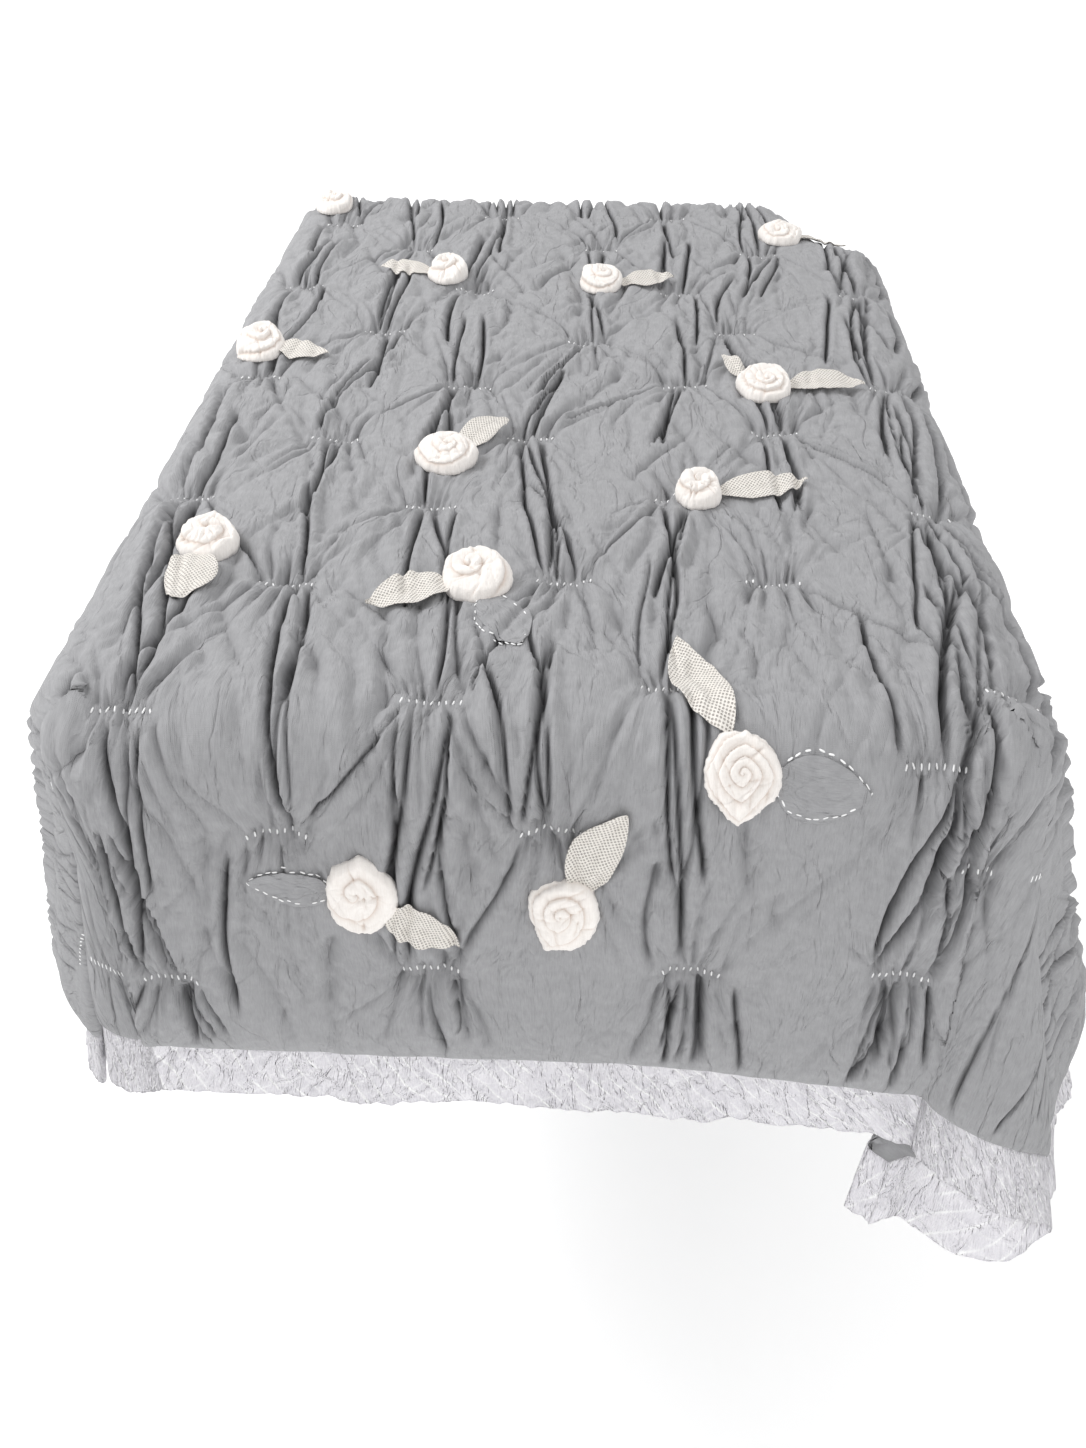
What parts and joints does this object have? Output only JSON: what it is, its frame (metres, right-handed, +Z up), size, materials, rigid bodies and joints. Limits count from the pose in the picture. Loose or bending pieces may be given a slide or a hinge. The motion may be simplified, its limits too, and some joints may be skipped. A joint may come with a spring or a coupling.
{
  "type": "comforter",
  "caption": "Grey ruched comforter with white fabric roses, mesh leaves and a white gauze flange, shaped as it hangs over a narrow bed.",
  "frame": {"origin": "middle of the flat underside, where the comforter rests on the bed top", "axes": "+Z up, +Y along the length towards the head, +X to the right when seen from the foot"},
  "size_m": [0.971, 1.5171, 0.6045],
  "materials": {
    "lining_cotton": "plain-woven grey cotton lining",
    "wadding_fibre": "lofty polyester wadding",
    "grey_cotton": "gathered matt grey cotton percale",
    "white_gauze": "crinkled white cotton gauze with woven lines, raw edge",
    "rose_cotton": "rolled off-white cotton strip",
    "mesh_knit": "off-white knitted eyelet mesh",
    "leaf_cotton": "matt grey cotton with a stitched outline",
    "white_thread": "white cotton sewing thread"
  },
  "bodies": {
    "root": {"lining": "lining_cotton", "wadding": "wadding_fibre", "face_panel": "grey_cotton", "flange_foot": "white_gauze", "flange_head": "white_gauze", "flange_left": "white_gauze", "flange_right": "white_gauze", "rose_1": "rose_cotton", "rose_2": "rose_cotton", "rose_3": "rose_cotton", "rose_4": "rose_cotton", "rose_5": "rose_cotton", "rose_6": "rose_cotton", "rose_7": "rose_cotton", "rose_8": "rose_cotton", "rose_9": "rose_cotton", "rose_10": "rose_cotton", "rose_11": "rose_cotton", "rose_12": "rose_cotton", "rose_13": "rose_cotton", "mesh_leaf_1": "mesh_knit", "mesh_leaf_2": "mesh_knit", "mesh_leaf_3": "mesh_knit", "mesh_leaf_4": "mesh_knit", "mesh_leaf_5": "mesh_knit", "mesh_leaf_6": "mesh_knit", "mesh_leaf_7": "mesh_knit", "mesh_leaf_8": "mesh_knit", "mesh_leaf_9": "mesh_knit", "mesh_leaf_10": "mesh_knit", "mesh_leaf_11": "mesh_knit", "mesh_leaf_12": "mesh_knit", "mesh_leaf_13": "mesh_knit", "grey_leaf_1": "leaf_cotton", "grey_leaf_2": "leaf_cotton", "grey_leaf_3": "leaf_cotton", "gather_threads_1": "white_thread", "gather_threads_2": "white_thread", "gather_threads_3": "white_thread", "gather_threads_4": "white_thread", "gather_threads_5": "white_thread", "gather_threads_6": "white_thread", "gather_threads_7": "white_thread", "gather_threads_8": "white_thread", "gather_threads_9": "white_thread", "gather_threads_10": "white_thread", "gather_threads_11": "white_thread", "gather_threads_12": "white_thread", "gather_threads_13": "white_thread", "gather_threads_14": "white_thread"}
  },
  "joints": []
}
